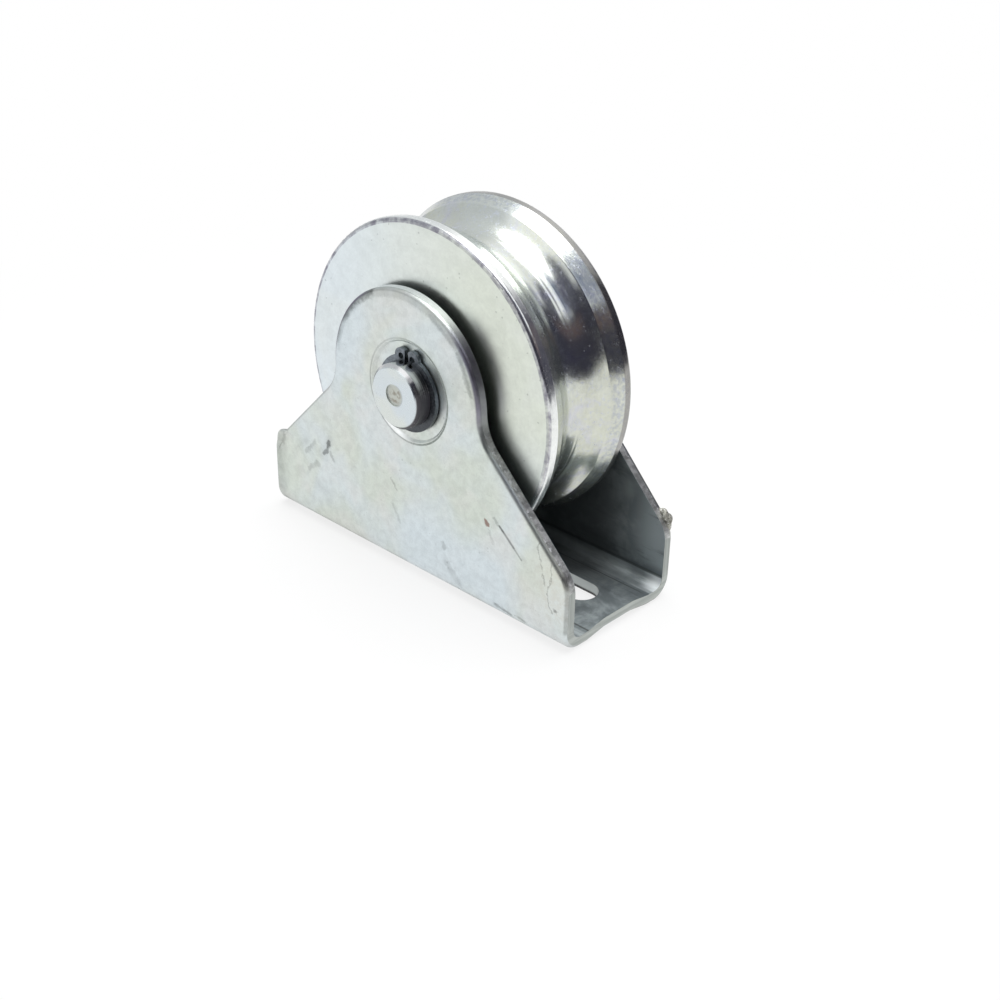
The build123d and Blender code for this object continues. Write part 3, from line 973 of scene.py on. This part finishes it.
def turned_zinc():
    """Bright zinc on the turned wheel: smooth pale faces, polished groove and flanks with turning marks."""
    material, tree = new_material("zinc on turned steel")
    place = own_place(tree)
    x, y, z = split(tree, place)
    across = calc(tree, "ABSOLUTE", y)
    bloom = use(tree, bloom_effect, Place=place, Spread=0.026)
    side = fade(tree, across, wheel_face - 0.00020, wheel_face - 0.00005)
    specks = use(tree, speck_effect, Place=place, Spacing=0.0019, Width=0.20, Share=0.30)["Mask"]
    specks = product(tree, specks, between(tree, side, 0.35, 1.0))
    grit = fade(tree, noise(tree, place, 1100.0, 3.0, 0.65), 0.50, 0.72)
    lathe = use(tree, lathe_effect, Place=place, Pitch=0.0005)
    groove = fade(tree, across, groove_edge + 0.0004, groove_edge - 0.0002)

    face = wheel_faces(tree, x, z, bloom)
    polished = polished_round(tree, place, y, bloom, grit)
    color = blend(tree, side, polished, face)
    radius = from_axle(tree, x, z)
    color = wheel_rims(tree, color, y, z, across, radius, bloom)
    tone = weighted(
        tree,
        (bloom["Mottle"], -0.08),
        (specks, -0.24),
        (bloom["Grain"], -0.12),
        (lathe["Lines"], -0.08),
        (1.0, 1.13),
    )
    color = shaded(tree, color, tone)

    polish = weighted(tree, (bloom["Mottle"], 0.08), (grit, 0.085), (lathe["Lines"], 0.08), (1.0, 0.11))
    satin = weighted(tree, (bloom["Mottle"], 0.05), (bloom["Grain"], 0.02), (1.0, 0.275))
    rough = between(tree, side, polish, satin)
    rough = calc(tree, "MULTIPLY_ADD", specks, between(tree, side, 0.04, 0.12), rough)
    ridge = fade(tree, away(tree, y, 0.0026), 0.0006, 0.0)
    step = fade(tree, y, 0.0040, 0.0044)
    fine = between(tree, side, 1.0, 0.35)
    height = weighted(
        tree,
        (product(tree, lathe["Lines"], fine), 2.6),
        (product(tree, lathe["Bands"], fine), 7.0),
        (product(tree, ridge, groove), 8.0),
        (product(tree, step, groove), 5.0),
        (bloom["Grain"], 0.5),
        (bloom["Mottle"], 1.0),
        (specks, -0.18),
    )
    round_part = fade(tree, side, 1.0, 0.0)
    flank = product(tree, fade(tree, across, groove_edge, groove_edge + 0.0008), round_part)
    dull = product(tree, round_part, weighted(tree, (grit, 0.02), (flank, 0.03), (1.0, 0.02)))
    surface(tree, color, rough, height, calc(tree, "SUBTRACT", 1.0, dull))
    return material


def plated_pin():
    """Zinc on the turned pin: pale blue end faces, a stained mark in each with painted shade at its +X edge,
    a body with a painted highlight on top and painted shade below, where it is also oily: rougher and less
    metallic.
    """
    material, tree = new_material("zinc on turned pin")
    place = own_place(tree)
    x, y, z = split(tree, place)
    across = calc(tree, "ABSOLUTE", y)
    bloom = use(tree, bloom_effect, Place=place, Spread=0.010)
    specks = use(tree, speck_effect, Place=place, Spacing=0.0012, Width=0.25, Share=0.35)["Mask"]
    lathe = use(tree, lathe_effect, Place=place, Pitch=0.0003)
    end = fade(tree, across, pin_end - 0.00030, pin_end - 0.00010)
    lifted = from_axle(tree, x, calc(tree, "SUBTRACT", z, end_mark_lift))
    mark = fade(tree, lifted, end_mark + 0.00015, end_mark + 0.00002)

    face = blend(tree, bloom["Cloud"], (0.655, 0.715, 0.750), (0.690, 0.730, 0.705))
    blotch = fade(tree, noise(tree, place, 900.0, 4.0), 0.40, 0.60)
    stained = blend(tree, blotch, (0.34, 0.32, 0.27), (0.56, 0.58, 0.53))
    stained = tint(tree, stained, (0.56, 0.59, 0.56), fade(tree, lifted, end_mark - 0.0012, end_mark))
    body = blend(tree, fade(tree, lathe["Lines"], 0.44, 0.66), (0.09, 0.09, 0.09), (0.42, 0.42, 0.43))
    top = product(tree, fade(tree, z, 0.0525, 0.0562), fade(tree, across, 0.0208, 0.0222))
    # painted highlight along the top of the pin's body
    body = tint(tree, body, (0.76, 0.77, 0.78), top, 0.85)
    low = product(
        tree, fade(tree, z, 0.0550, 0.0505), fade(tree, across, pin_end - 0.00015, pin_end - 0.00045),
    )
    # painted shade: the body near black low down
    body = tint(tree, body, (0.040, 0.037, 0.046), low, 0.94)
    color = blend(tree, end, body, face)
    mark_edge = fade(tree, lifted, end_mark + 0.0005, end_mark + 0.0001)
    rim = product(tree, mark_edge, fade(tree, x, 0.0, 0.0016), end)
    # painted shade on the +X side of the mark's edge
    color = tint(tree, color, (0.30, 0.32, 0.32), rim, 0.55)
    color = blend(tree, mark, color, stained)
    color = tint(tree, color, (0.30, 0.30, 0.28), specks, 0.30)

    rough = between(tree, end, 0.15, between(tree, bloom["Mottle"], 0.26, 0.34))
    rough = between(tree, mark, rough, 0.48)
    oily = product(tree, low, fade(tree, end, 1.0, 0.0))
    rough = between(tree, oily, rough, 0.35)
    height = weighted(
        tree, (lathe["Lines"], 1.5), (bloom["Mottle"], 1.2), (bloom["Grain"], 0.8), (specks, -1.5),
    )
    metallic = calc(tree, "SUBTRACT", 1.0, product(tree, oily, 0.75))
    surface(tree, color, rough, height, metallic)
    return material


def black_spring():
    """Blackened spring steel with an oily blue-grey sheen, mottled and specked, with painted shade darkening
    it low down.
    """
    material, tree = new_material("blackened spring steel")
    place = own_place(tree)
    bloom = use(tree, bloom_effect, Place=place, Spread=0.005)
    specks = use(tree, speck_effect, Place=place, Spacing=0.0010, Width=0.30, Share=0.30)["Mask"]
    z = split(tree, place)[2]
    color = blend(tree, bloom["Mottle"], (0.120, 0.137, 0.155), (0.240, 0.268, 0.300))
    low = fade(tree, z, axle_height + 0.0025, axle_height - 0.0055)
    # painted shade: darker low down
    color = tint(tree, color, (0.050, 0.052, 0.055), low, 0.75)
    color = tint(tree, color, (0.28, 0.27, 0.25), specks, 0.6)
    rough = between(tree, bloom["Mottle"], 0.30, 0.44)
    height = weighted(tree, (bloom["Mottle"], 2.0), (bloom["Grain"], 1.5), (specks, -2.0))
    surface(tree, color, rough, height)
    return material


def plain_steel(name, dark, light, rough, pitch, lines, dirt=0.3):
    """Bare steel: turning or grinding lines, a mottled tone and a few dark specks."""
    material, tree = new_material(name)
    place = own_place(tree)
    bloom = use(tree, bloom_effect, Place=place, Spread=0.008)
    specks = use(tree, speck_effect, Place=place, Spacing=0.0014, Width=0.25, Share=dirt)["Mask"]
    lathe = use(tree, lathe_effect, Place=place, Pitch=pitch)
    color = blend(tree, bloom["Mottle"], dark, light)
    color = tint(tree, color, (0.20, 0.19, 0.17), specks, 0.5)
    roughness = between(tree, lathe["Bands"], rough * 0.75, rough * 1.25)
    height = weighted(tree, (lathe["Lines"], lines), (bloom["Grain"], 0.5), (specks, -1.0))
    surface(tree, color, roughness, height)
    return material


def torn_metal():
    """Bare torn steel: grey-brown, pitted and ragged."""
    material, tree = new_material("torn sheet metal")
    place = own_place(tree)
    bloom = use(tree, bloom_effect, Place=place, Spread=0.004)
    pits = noise(tree, place, 1400.0, 4.0, 0.7)
    color = blend(tree, bloom["Mottle"], (0.27, 0.26, 0.22), (0.58, 0.58, 0.52))
    color = tint(tree, color, (0.85, 0.86, 0.85), fade(tree, pits, 0.56, 0.66))
    color = tint(tree, color, (0.10, 0.10, 0.085), fade(tree, pits, 0.44, 0.34))
    rough = between(tree, bloom["Mottle"], 0.36, 0.55)
    height = weighted(tree, (pits, 60.0), (bloom["Mottle"], 20.0))
    surface(tree, color, rough, height, metallic=0.85)
    return material


# -------------------- torn burrs
def torn_burr(name, spine, width, ripple, finish):
    """Lump of torn metal along a smooth line through the spine's points, in millimetres.

    point(t, a) = centre(t) + swell(t, a) * (cos a * side + sin a * out), with side along Y, out square to it
    and to the line, and swell(t, a) = width * sin(pi t)^0.6 * (1 + 0.22 sin(ripple t + 2 a)).
    """
    t = np.linspace(0, 1, 49)
    knots = np.linspace(0, 1, len(spine))
    fit = np.polyfit(knots, np.array(spine) * mm, len(spine) - 1)
    centre = np.stack([np.polyval(fit[:, axis], t) for axis in range(3)], axis=-1)
    ahead = np.gradient(centre, axis=0)
    ahead /= np.linalg.norm(ahead, axis=1)[:, None]
    side = np.array([0.0, 1.0, 0.0])
    out = np.cross(side, ahead)
    out /= np.linalg.norm(out, axis=1)[:, None]
    a = np.linspace(0, 2 * np.pi, 29)[None, :]
    lumps = 1 + 0.22 * np.sin(ripple * t[:, None] + 2 * a)
    swell = width * mm * (np.sin(np.pi * t)[:, None] + 1e-4) ** 0.6 * lumps
    turned = np.cos(a)[..., None] * side + np.sin(a)[..., None] * out[:, None]
    mesh = grid_mesh(name, centre[:, None] + swell[..., None] * turned)
    weld(mesh)
    mesh.shade_smooth()
    mesh.materials.append(finish)
    piece = new_object(name, mesh)
    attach(piece, "frame")


# -------------------- dress the pieces
def dress(names, material):
    """Puts one finish on every face of those CAD nodes."""
    for name in names:
        mesh = nodes[name].data
        mesh.materials.clear()
        mesh.materials.append(material)


sheet_finish = plated_sheet()
dress(["bracket"], sheet_finish)
rear_spine = [(46.6, 18.5, 22.3), (48.7, 18.5, 21.7), (49.9, 18.5, 20.1), (50.0, 18.5, 17.2)]
front_spine = [(-44.2, -18.2, 23.4), (-47.0, -18.5, 21.9), (-49.1, -18.6, 19.2), (-49.8, -18.5, 14.0)]
torn_burr("rear_ear_burr", rear_spine, width=0.95, ripple=17.0, finish=torn_metal())
torn_burr("front_ear_burr", front_spine, width=1.25, ripple=9.0, finish=sheet_finish)
dress(["wheel_body"], turned_zinc())
dress(["axle_pin"], plated_pin())
dress(["front_circlip", "rear_circlip", "bearing_retaining_ring"], black_spring())
dress(
    ["front_spacer", "rear_spacer"],
    plain_steel("turned steel", (0.42, 0.43, 0.44), (0.60, 0.61, 0.61), rough=0.34, pitch=0.0003, lines=2.0),
)
dress(
    ["bearing_outer_ring", "bearing_inner_ring"],
    plain_steel(
        "ground steel", (0.58, 0.59, 0.61), (0.70, 0.71, 0.72),
        rough=0.20, pitch=0.0002, lines=0.8, dirt=0.15,
    ),
)
dress(
    ["front_shield", "rear_shield", "front_cage_half", "rear_cage_half", "cage_rivets"],
    plain_steel("pressed steel", (0.48, 0.49, 0.50), (0.62, 0.63, 0.63), rough=0.30, pitch=0.0005, lines=1.0),
)
dress(
    [name for name in nodes if name.startswith("ball_")],
    plain_steel(
        "polished ball steel", (0.74, 0.75, 0.77), (0.82, 0.83, 0.84),
        rough=0.06, pitch=0.0002, lines=0.1, dirt=0.08,
    ),
)
